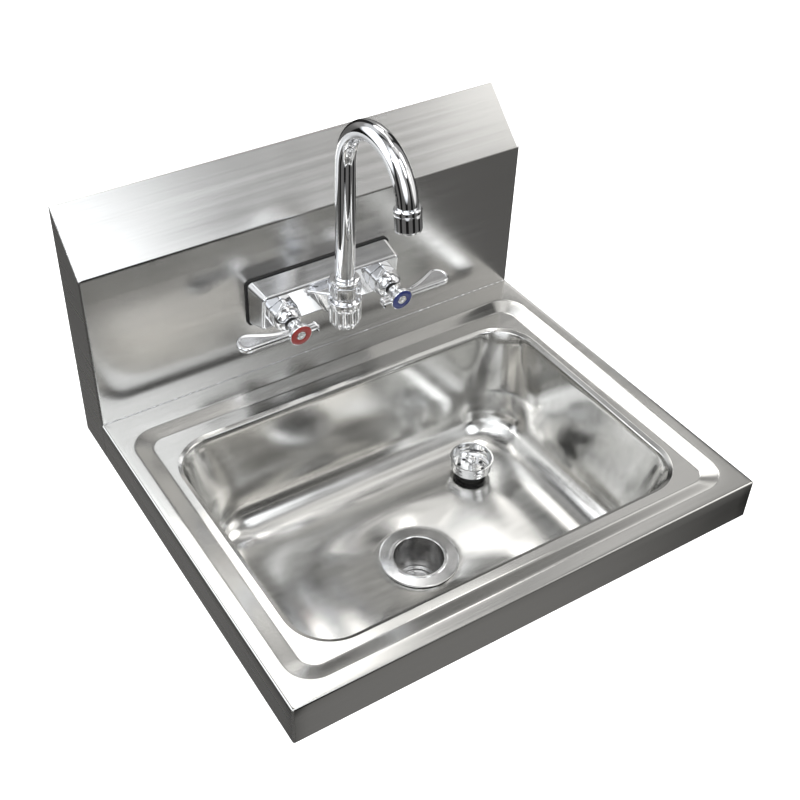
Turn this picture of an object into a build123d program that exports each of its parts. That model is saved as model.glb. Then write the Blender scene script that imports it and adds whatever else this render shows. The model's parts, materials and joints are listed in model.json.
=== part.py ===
from build123d import *
import os
from math import cos, radians, sin

# Wall-hung stainless hand sink with a splash-mounted, two-lever gooseneck faucet.
# Frame: X to the right as a user faces the sink, Y toward the wall, Z up.
# The wall is the plane Y = 0. The origin is on it, at the middle of the bracket's screw pattern.
# Lengths are in millimetres.

os.makedirs("parts", exist_ok=True)

# ---------------------------------------------------------------- driving dimensions

sheet = 1.2
deck_width = 431.8
deck_depth = 336.6
deck_top = -150.0
apron_height = 38.0

splash_depth = 47.0
splash_face = -splash_depth
splash_bend = deck_top + 149.0
splash_top = deck_top + 195.0
return_lip = 25.0

rim_drop = 4.0
rim_side, rim_front, rim_back, rim_radius = 12.0, 13.0, 23.5, 24.5
ledge_side, ledge_front, ledge_back, ledge_radius = 26.5, 26.0, 37.0, 13.0
edge_round = 1.0

bowl_centre_y = splash_face - 176.5
lip_length, lip_width, lip_corner = 366.0, 252.0, 40.0
wall_inset = 5.6
lip_round = 5.0
floor_inset = 6.0
floor_corner = 48.0
floor_round = 38.0
bowl_floor = deck_top - 117.0
dish_radius = 72.0
drain_seat = deck_top - 122.5
seat_radius = 39.0
drain_hole = 24.6

bracket_width, bracket_thickness = 280.0, 2.0
bracket_low, bracket_step, bracket_high = -24.0, 22.0, 34.0
bracket_jog = 3.5
screw_spacing_x, screw_spacing_z, screw_radius = 203.2, 25.4, 3.2

flange_radius, flange_thickness, flange_edge = 36.0, 2.0, 0.4
drain_bore = 22.4
drain_thread = 23.9
tail_bore = 21.3
waist_bore, waist_depth = 19.2, 2.5
step_bore, step_depth = 16.2, 5.0
outlet_bore, outlet_depth = 13.6, 7.0
gasket_thickness = 1.5
drain_bottom = deck_top - 190.0
drain_ledge = deck_top - 152.0
relief_top, relief_width, relief_depth = deck_top - 140.0, 2.0, 0.9

basket_x, basket_y = 101.2, splash_face - 114.2
stopper_height = 7.0
stopper_radius, stopper_foot, stopper_edge = 14.6, 12.0, 2.2
stopper_socket, stopper_socket_depth = 5.6, 2.5
cup_height = 13.5
cup_radius = 20.6
cup_sheet = 0.7
slot_count, slot_length, slot_width = 6, 10.0, 2.2
hole_count, hole_radius, hole_circle = 8, 1.9, 11.5
post_radius, post_foot_radius, knob_radius = 2.2, 5.0, 4.6
post_hole = post_radius + 0.1

faucet_gasket = 1.5
faucet_centre = deck_top + 75.8
faucet_back = splash_face - faucet_gasket
faucet_length, faucet_height = 143.0, 44.5
faucet_front_length, faucet_front_height = 136.5, 35.5
valve_spacing = 101.6
valve_face = splash_face - 24.0
valve_tilt = 6.0
stem_radius = 3.0
shank_radius, shank_bore = 10.6, 6.5
shank_length = 32.0

spout_y = splash_face - 46.0
tube_radius = 8.5
tube_wall = 1.0
arch_radius = 44.5
arch_angle = 172.0
outlet_straight = 4.0
spout_top = deck_top + 268.5
socket_bottom = deck_top + 58.0
socket_top = deck_top + 90.0
nut_top = deck_top + 106.0
running_gap = 0.06
fit_gap = 0.1

# ---------------------------------------------------------------- derived values

front_edge = splash_face - deck_depth
deck_middle_y = splash_face - deck_depth / 2
ledge_top = deck_top - rim_drop
mouth_length = lip_length - 2 * wall_inset
mouth_width = lip_width - 2 * wall_inset
mouth_corner = lip_corner - wall_inset
arch_centre = spout_top - tube_radius - arch_radius
end_angle = radians(arch_angle)
flow = Vector(0, -sin(end_angle), cos(end_angle))
arch_end = Vector(
    0,
    spout_y - arch_radius * (1 - cos(end_angle)),
    arch_centre + arch_radius * sin(end_angle),
)
outlet = Plane(origin=arch_end + flow * outlet_straight, x_dir=(1, 0, 0), z_dir=flow)


def finish(part, name):
    """Label one finished piece and write its STEP file."""
    part.label = name
    export_step(part, f"parts/{name}.step")


def inset_outline(side, front, back):
    """Width, depth and centre Y of a rectangle set in from the deck's edges."""
    depth = deck_depth - front - back
    return deck_width - 2 * side, depth, splash_face - back - depth / 2


def turned(plane, points, label):
    """A solid of revolution about a plane's normal, from (radius, height) points."""
    section = Plane(origin=plane.origin, x_dir=plane.x_dir, z_dir=-plane.y_dir)
    with BuildPart() as piece:
        with BuildSketch(section):
            Polygon(*points, align=None)
        revolve(axis=Axis(plane.origin, plane.z_dir))
    piece.part.label = label
    return piece.part


# ---------------------------------------------------------------- deck

rim_width, rim_depth, rim_y = inset_outline(rim_side, rim_front, rim_back)
ledge_width, ledge_depth, ledge_y = inset_outline(ledge_side, ledge_front, ledge_back)

with BuildPart() as deck:
    with BuildSketch(Plane.XY.offset(deck_top)):
        with Locations((0, deck_middle_y)):
            Rectangle(deck_width, deck_depth)
    extrude(amount=-sheet)
    # the band that slopes down from the raised rim to the ledge around the bowl
    with BuildSketch(Plane.XY.offset(deck_top - sheet)):
        with Locations((0, rim_y)):
            RectangleRounded(rim_width, rim_depth, rim_radius)
    with BuildSketch(Plane.XY.offset(ledge_top - sheet)):
        with Locations((0, ledge_y)):
            RectangleRounded(ledge_width, ledge_depth, ledge_radius)
    loft()
    with BuildSketch(Plane.XY.offset(deck_top)):
        with Locations((0, rim_y)):
            RectangleRounded(rim_width, rim_depth, rim_radius)
    with BuildSketch(Plane.XY.offset(ledge_top)):
        with Locations((0, ledge_y)):
            RectangleRounded(ledge_width, ledge_depth, ledge_radius)
    loft(mode=Mode.SUBTRACT)
    # opening for the bowl
    with BuildSketch(Plane.XY.offset(ledge_top)):
        with Locations((0, bowl_centre_y)):
            RectangleRounded(lip_length, lip_width, lip_corner)
    extrude(amount=-2 * sheet, mode=Mode.SUBTRACT)
    # aprons on the front and both sides
    with BuildSketch(Plane.XY.offset(deck_top)):
        with Locations((0, deck_middle_y)):
            Rectangle(deck_width, deck_depth)
        with Locations((0, deck_middle_y + sheet / 2)):
            Rectangle(deck_width - 2 * sheet, deck_depth - sheet, mode=Mode.SUBTRACT)
    extrude(amount=-apron_height)
    outer_edges = [
        e
        for e in deck.edges().filter_by(GeomType.LINE)
        if e.length > sheet * 5
        and abs(e.center().Z - deck_top) < 1e-3
        and (abs(e.center().X) > deck_width / 2 - 1e-3 or abs(e.center().Y - front_edge) < 1e-3)
    ]
    fillet(outer_edges, edge_round)
finish(deck.part, "deck")

# ---------------------------------------------------------------- bowl


def bowl_space(grow):
    """The space inside the bowl, grown outward by a distance."""
    with BuildPart() as space:
        with BuildSketch(Plane.XY.offset(ledge_top)):
            with Locations((0, bowl_centre_y)):
                RectangleRounded(mouth_length + 2 * grow, mouth_width + 2 * grow, mouth_corner + grow)
        with BuildSketch(Plane.XY.offset(bowl_floor - grow)):
            with Locations((0, bowl_centre_y)):
                RectangleRounded(
                    mouth_length - 2 * floor_inset + 2 * grow,
                    mouth_width - 2 * floor_inset + 2 * grow,
                    floor_corner + grow,
                )
        loft()
        fillet(space.faces().sort_by(Axis.Z)[0].edges(), floor_round + grow)
        with BuildSketch(Plane.XY.offset(bowl_floor - grow)):
            with Locations((0, bowl_centre_y)):
                Circle(dish_radius)
        with BuildSketch(Plane.XY.offset(drain_seat - grow)):
            with Locations((0, bowl_centre_y)):
                Circle(seat_radius)
        loft()
    return space.part


def bowl_block(grow):
    """A block around the bowl's space, with a rounded lip at the top."""
    top = ledge_top - grow
    with BuildPart() as block:
        with BuildSketch(Plane.XY.offset(top)):
            with Locations((0, bowl_centre_y)):
                RectangleRounded(lip_length, lip_width, lip_corner)
        extrude(amount=drain_seat - 10 - top)
        add(bowl_space(grow), mode=Mode.SUBTRACT)
        mouth = block.faces().filter_by(Axis.Z).sort_by(Axis.Z)[-1].inner_wires()[0]
        fillet(mouth.edges(), lip_round - grow)
    return block.part


with BuildPart() as bowl:
    add(bowl_block(0))
    add(bowl_block(sheet), mode=Mode.SUBTRACT)
    with BuildSketch(Plane.XY.offset(drain_seat)):
        with Locations((0, bowl_centre_y)):
            Circle(drain_hole)
    extrude(amount=-sheet * 3, both=True, mode=Mode.SUBTRACT)
finish(bowl.part, "bowl")

# ---------------------------------------------------------------- backsplash

# a section from the deck up the face, back along the slope and down the wall
splash_bottom = deck_top - apron_height
with BuildPart() as backsplash:
    with BuildSketch(Plane.YZ.offset(-deck_width / 2 + sheet)):
        with BuildLine():
            Polyline(
                (splash_face, splash_bottom),
                (splash_face, splash_bend),
                (0, splash_top),
                (0, splash_top - return_lip),
            )
            offset(amount=sheet, side=Side.RIGHT, kind=Kind.INTERSECTION)
        make_face()
    extrude(amount=deck_width - 2 * sheet)
    with BuildSketch(Plane.XZ.offset(-splash_face - sheet * 2)):
        with Locations((-valve_spacing / 2, faucet_centre), (valve_spacing / 2, faucet_centre)):
            Circle(shank_radius + 0.9)
    extrude(amount=sheet * 4, mode=Mode.SUBTRACT)
finish(backsplash.part, "backsplash")


def end_panel(side):
    """One flat panel that closes an end of the backsplash; side is -1 for left, 1 for right."""
    near = deck_width / 2 if side > 0 else -deck_width / 2 + sheet
    with BuildPart() as panel:
        with BuildSketch(Plane.YZ.offset(near)):
            Polygon(
                (0, splash_bottom),
                (0, splash_top),
                (splash_face, splash_bend),
                (splash_face, splash_bottom),
                align=None,
            )
        extrude(amount=-sheet)
    return panel.part


finish(end_panel(-1), "splash_end_left")
finish(end_panel(1), "splash_end_right")

# ---------------------------------------------------------------- wall bracket

# screwed to the wall; its raised upper leg holds the backsplash's return lip against the wall
with BuildPart() as wall_bracket:
    with BuildSketch(Plane.YZ.offset(-bracket_width / 2)):
        with BuildLine():
            Polyline(
                (0, bracket_low),
                (0, bracket_step - bracket_jog),
                (-bracket_jog, bracket_step),
                (-bracket_jog, bracket_high),
            )
            offset(amount=bracket_thickness, side=Side.LEFT, kind=Kind.INTERSECTION)
        make_face()
    extrude(amount=bracket_width)
    with BuildSketch(Plane.XZ.offset(-bracket_thickness)):
        with GridLocations(screw_spacing_x, screw_spacing_z, 2, 2):
            Circle(screw_radius)
    extrude(amount=bracket_thickness * 3, mode=Mode.SUBTRACT)
finish(wall_bracket.part, "wall_bracket")

# ---------------------------------------------------------------- drain

drain = Plane(origin=(0, bowl_centre_y, 0))
flange_bottom = drain_seat + gasket_thickness
flange_top = flange_bottom + flange_thickness
under_bowl = drain_seat - sheet

drain_profile = [
    (drain_bore, drain_ledge),
    (drain_bore, flange_top - 1.0),
    (drain_bore + 0.8, flange_top),
    (drain_bore + 2.2, flange_top),
    (drain_bore + 3.6, flange_top - 0.6),
    (flange_radius - 2 * flange_edge, flange_bottom + 0.9),
    (flange_radius, flange_bottom + flange_edge),
    (flange_radius, flange_bottom),
    (drain_thread, flange_bottom),
    (drain_thread, relief_top),
    (drain_thread - relief_depth, relief_top),
    (drain_thread - relief_depth, relief_top - relief_width),
    (drain_thread, relief_top - relief_width),
    (drain_thread, drain_bottom),
    (tail_bore, drain_bottom),
    (tail_bore, drain_ledge - outlet_depth),
    (outlet_bore, drain_ledge - outlet_depth),
    (outlet_bore, drain_ledge - step_depth),
    (step_bore, drain_ledge - step_depth),
    (step_bore, drain_ledge - waist_depth),
    (waist_bore, drain_ledge - waist_depth),
    (waist_bore, drain_ledge),
]
finish(turned(drain, drain_profile, "drain_body"), "drain_body")

# pressed plate with a cross over the outlet
grid_radius, grid_opening, grid_boss = 17.5, 11.5, 3.4
grid_bar, grid_span, grid_thickness = 3.2, 27.0, 1.5
with BuildPart() as drain_grid:
    with BuildSketch(Plane.XY.offset(drain_ledge - outlet_depth)):
        with Locations((0, bowl_centre_y)):
            Circle(grid_radius)
            Circle(grid_opening, mode=Mode.SUBTRACT)
            Rectangle(grid_span, grid_bar)
            Rectangle(grid_bar, grid_span)
            Circle(grid_boss)
    extrude(amount=-grid_thickness)
finish(drain_grid.part, "drain_grid")


def washer(outer, inner, top, thickness, name):
    """A flat ring around the drain's axis, its top at a given height."""
    with BuildPart() as ring:
        with BuildSketch(Plane.XY.offset(top)):
            with Locations((0, bowl_centre_y)):
                Circle(outer)
                Circle(inner, mode=Mode.SUBTRACT)
        extrude(amount=-thickness)
    finish(ring.part, name)


gasket_radius = flange_radius - 1.2
seal_radius, seal_thickness = 34.0, 3.0
friction_radius, friction_thickness = 33.0, 0.8
nut_across, nut_flange_radius = 31.0, 32.5
nut_thickness, nut_flange_thickness = 11.0, 2.0
washer_bore = drain_thread + 0.3
nut_bore = drain_thread + fit_gap
friction_top = under_bowl - seal_thickness
nut_under = friction_top - friction_thickness
washer(gasket_radius, washer_bore, flange_bottom, gasket_thickness, "drain_flange_gasket")
washer(seal_radius, washer_bore, under_bowl, seal_thickness, "drain_seal_washer")
washer(friction_radius, washer_bore, friction_top, friction_thickness, "drain_friction_ring")

with BuildPart() as drain_locknut:
    with BuildSketch(Plane.XY.offset(nut_under)):
        with Locations((0, bowl_centre_y)):
            RegularPolygon(radius=nut_across, side_count=8, major_radius=False)
            Circle(nut_bore, mode=Mode.SUBTRACT)
    extrude(amount=-nut_thickness)
    with BuildSketch(Plane.XY.offset(nut_under)):
        with Locations((0, bowl_centre_y)):
            Circle(nut_flange_radius)
            Circle(nut_bore, mode=Mode.SUBTRACT)
    extrude(amount=-nut_flange_thickness)
finish(drain_locknut.part, "drain_locknut")

# ---------------------------------------------------------------- strainer basket

basket = Plane(origin=(basket_x, basket_y, 0))
cup_bottom = bowl_floor + stopper_height
cup_top = cup_bottom + cup_height
slot_rows = (4.6, 8.6)

cup_profile = [
    (post_hole, cup_bottom),
    (cup_radius - 3.2, cup_bottom),
    (cup_radius - 1.6, cup_bottom + 1.6),
    (cup_radius - 0.8, cup_top - 1.0),
    (cup_radius, cup_top - 0.9),
    (cup_radius, cup_top),
    (cup_radius - 1.5, cup_top),
    (cup_radius - 1.6 - cup_sheet, cup_bottom + 2.0),
    (cup_radius - 3.4 - cup_sheet / 2, cup_bottom + cup_sheet),
    (post_hole, cup_bottom + cup_sheet),
]
with BuildPart() as basket_cup:
    add(turned(basket, cup_profile, "cup"))
    with BuildSketch(Plane.XY.offset(cup_bottom)):
        with Locations((basket_x, basket_y)):
            with PolarLocations(hole_circle, hole_count):
                Circle(hole_radius)
    extrude(amount=cup_sheet * 3, both=True, mode=Mode.SUBTRACT)
    for index in range(slot_count):
        angle = radians(360 / slot_count * index + 15)
        outward = (cos(angle), sin(angle), 0)
        sideways = (-sin(angle), cos(angle), 0)
        wall_plane = Plane(origin=(basket_x, basket_y, cup_bottom), x_dir=sideways, z_dir=outward)
        with BuildSketch(wall_plane.offset(cup_radius - 6)):
            with Locations(*[(0, height) for height in slot_rows]):
                SlotOverall(slot_length, slot_width)
        extrude(amount=8, mode=Mode.SUBTRACT)
finish(basket_cup.part, "basket_cup")

post_profile = [
    (0, bowl_floor + 1.0),
    (post_foot_radius, bowl_floor + 1.0),
    (post_foot_radius, bowl_floor + 2.4),
    (post_radius, bowl_floor + 2.4),
    (post_radius, cup_bottom + 8.2),
    (knob_radius - 0.2, cup_bottom + 9.0),
    (knob_radius, cup_bottom + 10.6),
    (knob_radius - 1.4, cup_bottom + 12.2),
    (0, cup_bottom + 12.6),
]
finish(turned(basket, post_profile, "basket_post"), "basket_post")

stopper_profile = [
    (post_hole, cup_bottom),
    (stopper_radius, cup_bottom),
    (stopper_radius, cup_bottom - stopper_edge),
    (stopper_foot + 1.0, cup_bottom - stopper_edge - 0.8),
    (stopper_foot, bowl_floor),
    (stopper_socket, bowl_floor),
    (stopper_socket, bowl_floor + stopper_socket_depth),
    (post_hole, bowl_floor + stopper_socket_depth),
]
finish(turned(basket, stopper_profile, "basket_stopper"), "basket_stopper")

# ---------------------------------------------------------------- faucet body


def valve_plane(side):
    """Plane on a valve's seat: its normal runs along the stem, away from the wall."""
    tilt = radians(valve_tilt)
    return Plane(
        origin=(side * valve_spacing / 2, valve_face, faucet_centre),
        x_dir=(1, 0, 0),
        z_dir=(0, -cos(tilt), -sin(tilt)),
    )


def toward_user(x, y):
    """Plane at the faucet's height that faces away from the wall."""
    return Plane(origin=(x, y, faucet_centre), x_dir=(1, 0, 0), z_dir=(0, -1, 0))


def toward_wall(x, y):
    """Plane at the faucet's height that faces the wall."""
    return Plane(origin=(x, y, faucet_centre), x_dir=(1, 0, 0), z_dir=(0, 1, 0))


face_tilt = radians(valve_tilt)
body_front = Plane(
    origin=(0, valve_face, faucet_centre),
    x_dir=(1, 0, 0),
    z_dir=(0, -cos(face_tilt), -sin(face_tilt)),
)
body_back = toward_user(0, faucet_back)
chamber_radius, chamber_depth = 9.1, 14.0
inlet_bore, cross_bore, cross_half_length, neck_bore = 5.0, 3.5, 50.0, 4.5
cross_y = valve_face + 11.0
socket_radius, cup_round = 14.2, 9.0
socket_band, socket_band_height = 0.7, 4.5
socket_bore = tube_radius + 1.05
spigot_radius, spigot_top = 11.4, socket_top + 6.0
socket_floor = deck_top + 72.0
flute_count, flute_radius, flute_circle = 16, 2.2, socket_radius + 1.3
neck_high, neck_low = 13.0, -15.0

with BuildPart() as faucet_body:
    with BuildSketch(body_back):
        RectangleRounded(faucet_length, faucet_height, 5.0)
    with BuildSketch(body_front):
        with Locations((0, 1.5)):
            RectangleRounded(faucet_front_length, faucet_front_height, 4.0)
    loft()
    # neck: wide at the top of the plate, narrow at its foot
    with BuildSketch(body_front.offset(-1.0)):
        Polygon((-28, neck_high), (28, neck_high), (9, neck_low), (-9, neck_low), align=None)
    with BuildSketch(toward_user(0, spout_y + 5)):
        Polygon((-11, neck_high), (11, neck_high), (9, -neck_high), (-9, -neck_high), align=None)
    loft()
    # socket that receives the spout, with a fluted cup below
    with BuildSketch(Plane(origin=(0, spout_y, 0), x_dir=(1, 0, 0), z_dir=(0, -1, 0))):
        with BuildLine():
            Line((0, socket_bottom), (socket_radius - cup_round, socket_bottom))
            TangentArc(
                (socket_radius - cup_round, socket_bottom),
                (socket_radius, socket_bottom + cup_round),
                tangent=(1, 0),
            )
            Polyline(
                (socket_radius, socket_bottom + cup_round),
                (socket_radius, socket_top - socket_band_height),
                (socket_radius + socket_band, socket_top - socket_band_height),
                (socket_radius + socket_band, socket_top),
                (spigot_radius, socket_top),
                (spigot_radius, spigot_top),
                (0, spigot_top),
                (0, socket_bottom),
            )
        make_face()
    revolve(axis=Axis((0, spout_y, 0), (0, 0, 1)))
    # water ways
    with BuildSketch(Plane.XY.offset(socket_floor)):
        with Locations((0, spout_y)):
            Circle(socket_bore)
    extrude(amount=spigot_top - socket_floor, mode=Mode.SUBTRACT)
    for side in (-1, 1):
        with BuildSketch(valve_plane(side).offset(-chamber_depth)):
            Circle(chamber_radius)
        extrude(amount=chamber_depth + 5, mode=Mode.SUBTRACT)
        with BuildSketch(body_back):
            with Locations((side * valve_spacing / 2, 0)):
                Circle(inlet_bore)
        extrude(amount=12, mode=Mode.SUBTRACT)
    with BuildSketch(Plane(origin=(0, cross_y, faucet_centre), x_dir=(0, 1, 0), z_dir=(1, 0, 0))):
        Circle(cross_bore)
    extrude(amount=cross_half_length, both=True, mode=Mode.SUBTRACT)
    with BuildSketch(toward_user(0, cross_y)):
        Circle(neck_bore)
    extrude(amount=cross_y - spout_y, mode=Mode.SUBTRACT)
    # flutes around the cup
    with BuildSketch(Plane.XY.offset(socket_bottom + 5.0)):
        with Locations((0, spout_y)):
            with PolarLocations(flute_circle, flute_count):
                Circle(flute_radius)
    extrude(amount=socket_top - socket_bottom - 11.0, mode=Mode.SUBTRACT)
finish(faucet_body.part, "faucet_body")

# ---------------------------------------------------------------- faucet mounting hardware

gasket_border = 1.2
with BuildPart() as body_gasket:
    with BuildSketch(toward_user(0, splash_face)):
        RectangleRounded(faucet_length + 2 * gasket_border, faucet_height + 2 * gasket_border, 5.5)
        with Locations((-valve_spacing / 2, 0), (valve_spacing / 2, 0)):
            Circle(shank_radius + 0.4, mode=Mode.SUBTRACT)
    extrude(amount=faucet_gasket)
finish(body_gasket.part, "body_gasket")

shank_end = splash_face + shank_length
washer_back = splash_face + sheet
washer_thickness, locknut_thickness = 2.0, 8.0
groove_start = washer_back + washer_thickness + locknut_thickness + 0.5
for side, name in ((-1, "hot"), (1, "cold")):
    shank_x = side * valve_spacing / 2
    with BuildPart() as inlet_shank:
        with BuildSketch(toward_wall(shank_x, faucet_back)):
            Circle(shank_radius)
            Circle(shank_bore, mode=Mode.SUBTRACT)
        extrude(amount=shank_end - faucet_back)
        chamfer(inlet_shank.faces().sort_by(Axis.Y)[-1].outer_wire().edges(), 1.0)
        # relief groove between the locknut's thread and the hose's thread
        with BuildSketch(toward_wall(shank_x, groove_start)):
            Circle(shank_radius)
            Circle(shank_radius - relief_depth, mode=Mode.SUBTRACT)
        extrude(amount=relief_width, mode=Mode.SUBTRACT)
    finish(inlet_shank.part, f"{name}_inlet_shank")


def shank_rings(outer_side_count, outer, start, thickness):
    """One ring per shank behind the backsplash, round or many-sided."""
    with BuildPart() as rings:
        with BuildSketch(toward_wall(0, start)):
            with Locations((-valve_spacing / 2, 0), (valve_spacing / 2, 0)):
                if outer_side_count:
                    RegularPolygon(radius=outer, side_count=outer_side_count, major_radius=False)
                else:
                    Circle(outer)
                Circle(shank_radius + fit_gap, mode=Mode.SUBTRACT)
        extrude(amount=thickness)
    return rings.part


washer_radius, locknut_across = 17.0, 15.0
locknut_start = washer_back + washer_thickness
finish(shank_rings(0, washer_radius, washer_back, washer_thickness), "shank_washers")
finish(shank_rings(6, locknut_across, locknut_start, locknut_thickness), "shank_locknuts")

# ---------------------------------------------------------------- valves and levers

hex_height, dome_top, hub_back, hub_front = 9.0, 19.0, 21.5, 35.6
hub_back_radius, hub_front_radius = 6.8, 10.4
seal_inner = 7.5
lever_reach, lever_thickness = 55.0, 5.6
stub_reach = 19.0
blade_front, blade_root_back, blade_tip_back = 33.6, 25.0, 13.8
stub_width = 7.0
index_seat, hub_face = 9.8, hub_front - 1.2
index_outer, index_inner, index_thickness = 9.7, 4.4, 1.5
bonnet_across, dome_radius, bonnet_foot = 12.0, 12.6, -10.4
stem_flange_radius, stem_flange_top, stem_flange_thickness, stem_end = 7.2, -4.4, 3.0, 30.0
stem_foot = stem_flange_top - stem_flange_thickness
screw_thread, screw_hole, screw_head, screw_start = 1.5, 1.6, 4.2, 20.0
screw_head_height, hexagon_radius, hexagon_depth = 2.0, 1.3, 1.2
disc_thickness, port_offset = 3.0, 3.6
fixed_disc_radius, fixed_disc_low, fixed_port = 8.9, -13.6, 2.0
turning_disc_low, turning_port = -10.5, 1.8
seal_outer = 5.8


def valve_bonnet(side):
    """Hexagonal bonnet with a domed nose, bored for the stem."""
    seat = valve_plane(side)
    dome = [
        (0, hex_height - 0.5),
        (dome_radius, hex_height - 0.5),
        (dome_radius, hex_height + 3.0),
        (dome_radius - 1.2, hex_height + 6.0),
        (8.8, hex_height + 8.6),
        (6.4, dome_top),
        (0, dome_top),
    ]
    with BuildPart() as bonnet:
        with BuildSketch(seat.offset(0.05)):
            RegularPolygon(radius=bonnet_across, side_count=6, major_radius=False)
        extrude(amount=hex_height - 0.05)
        add(turned(seat, dome, "dome"))
        with BuildSketch(seat.offset(bonnet_foot)):
            Circle(chamber_radius - fit_gap)
        extrude(amount=12)
        with BuildSketch(seat.offset(bonnet_foot)):
            Circle(seal_inner)
        extrude(amount=6.2, mode=Mode.SUBTRACT)
        with BuildSketch(seat.offset(bonnet_foot)):
            Circle(stem_radius + running_gap)
        extrude(amount=dome_top + 12, mode=Mode.SUBTRACT)
    return bonnet.part


def valve_stem(side):
    """Stem with a driving flange at its foot, drilled for the handle screw."""
    profile = [
        (0, stem_foot),
        (stem_flange_radius, stem_foot),
        (stem_flange_radius, stem_flange_top),
        (stem_radius, stem_flange_top),
        (stem_radius, stem_end),
        (0, stem_end),
    ]
    with BuildPart() as stem:
        add(turned(valve_plane(side), profile, "stem"))
        with BuildSketch(valve_plane(side).offset(screw_start - 2)):
            Circle(screw_hole)
        extrude(amount=13, mode=Mode.SUBTRACT)
    return stem.part


def valve_disc(side, radius, low, port_radius):
    """Ceramic disc with two ports."""
    with BuildPart() as disc:
        with BuildSketch(valve_plane(side).offset(low)):
            Circle(radius)
            with Locations((-port_offset, 0), (port_offset, 0)):
                Circle(port_radius, mode=Mode.SUBTRACT)
        extrude(amount=disc_thickness)
    return disc.part


def lever(side):
    """Lever: a flared hub, a flat blade that widens outward and a short tail on the other side."""
    seat = valve_plane(side)
    outward = Vector(side, 0, 0)
    hub = [
        (stem_radius, hub_back),
        (hub_back_radius, hub_back),
        (hub_back_radius + 0.6, hub_back + 3.0),
        (hub_front_radius, hub_front - 3.0),
        (hub_front_radius, hub_front),
        (index_seat, hub_front),
        (index_seat, hub_face),
        (stem_radius, hub_face),
    ]
    with BuildPart() as handle:
        add(turned(seat, hub, "hub"))
        with BuildSketch(Plane(origin=seat.origin, x_dir=outward, z_dir=outward.cross(seat.z_dir))):
            with BuildLine():
                Polyline((0, blade_root_back), (0, blade_front), (lever_reach - 9, blade_front))
                ThreePointArc(
                    (lever_reach - 9, blade_front),
                    (lever_reach, (blade_front + blade_tip_back) / 2),
                    (lever_reach - 11, blade_tip_back),
                )
                Spline(
                    (lever_reach - 11, blade_tip_back),
                    (27, blade_root_back - 4.0),
                    (12, blade_root_back),
                    tangents=[(-1, 0.1), (-1, 0)],
                )
                Line((12, blade_root_back), (0, blade_root_back))
            make_face()
            with Locations((-stub_reach / 2, blade_front - stub_width / 2)):
                Rectangle(stub_reach, stub_width)
        extrude(amount=lever_thickness / 2, both=True)
        with BuildSketch(seat.offset(hub_back - 5)):
            Circle(stem_radius)
        extrude(amount=hub_face - hub_back + 5, mode=Mode.SUBTRACT)
        with BuildSketch(seat.offset(hub_face)):
            Circle(index_seat)
        extrude(amount=6, mode=Mode.SUBTRACT)
    return handle.part


def index_ring(side):
    """Coloured ring that tells hot from cold."""
    with BuildPart() as ring:
        with BuildSketch(valve_plane(side).offset(hub_face)):
            Circle(index_outer)
            Circle(index_inner, mode=Mode.SUBTRACT)
        extrude(amount=index_thickness)
    return ring.part


def handle_screw(side):
    """Screw that clamps the lever to the stem, with a hexagon recess."""
    with BuildPart() as screw:
        with BuildSketch(valve_plane(side).offset(hub_face)):
            Circle(screw_head)
        extrude(amount=screw_head_height)
        with BuildSketch(valve_plane(side).offset(screw_start)):
            Circle(screw_thread)
        extrude(amount=hub_face - screw_start)
        with BuildSketch(valve_plane(side).offset(hub_face + screw_head_height)):
            RegularPolygon(radius=hexagon_radius, side_count=6)
        extrude(amount=-hexagon_depth, mode=Mode.SUBTRACT)
    return screw.part


def seal_ring(side):
    """Rubber ring on the stem between the bonnet and the lever."""
    with BuildPart() as seal:
        with BuildSketch(valve_plane(side).offset(dome_top + fit_gap)):
            Circle(seal_outer)
            Circle(stem_radius, mode=Mode.SUBTRACT)
        extrude(amount=hub_back - dome_top - fit_gap)
    return seal.part


for side, name in ((-1, "hot"), (1, "cold")):
    finish(valve_bonnet(side), f"{name}_bonnet")
    fixed_disc = valve_disc(side, fixed_disc_radius, fixed_disc_low, fixed_port)
    turning_disc = valve_disc(side, stem_flange_radius, turning_disc_low, turning_port)
    finish(fixed_disc, f"{name}_fixed_disc")
    finish(turning_disc, f"{name}_turning_disc")
    finish(valve_stem(side), f"{name}_stem")
    finish(seal_ring(side), f"{name}_stem_seal")
    finish(lever(side), f"{name}_lever")
    finish(index_ring(side), f"{name}_index_ring")
    finish(handle_screw(side), f"{name}_handle_screw")

# ---------------------------------------------------------------- spout

spout_axis = Plane(origin=(0, spout_y, 0))
tube_foot = deck_top + 74.0

with BuildPart() as spout_tube:
    with BuildLine(Plane.YZ) as tube_path:
        rise = Line((spout_y, tube_foot), (spout_y, arch_centre))
        arch = JernArc(start=rise @ 1, tangent=rise % 1, radius=arch_radius, arc_size=arch_angle)
        PolarLine(arch @ 1, outlet_straight, direction=arch % 1)
    with BuildSketch(Plane.XY.offset(tube_foot)):
        with Locations((0, spout_y)):
            Circle(tube_radius)
            Circle(tube_radius - tube_wall, mode=Mode.SUBTRACT)
    sweep(path=tube_path.line)
finish(spout_tube.part, "spout_tube")

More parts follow.
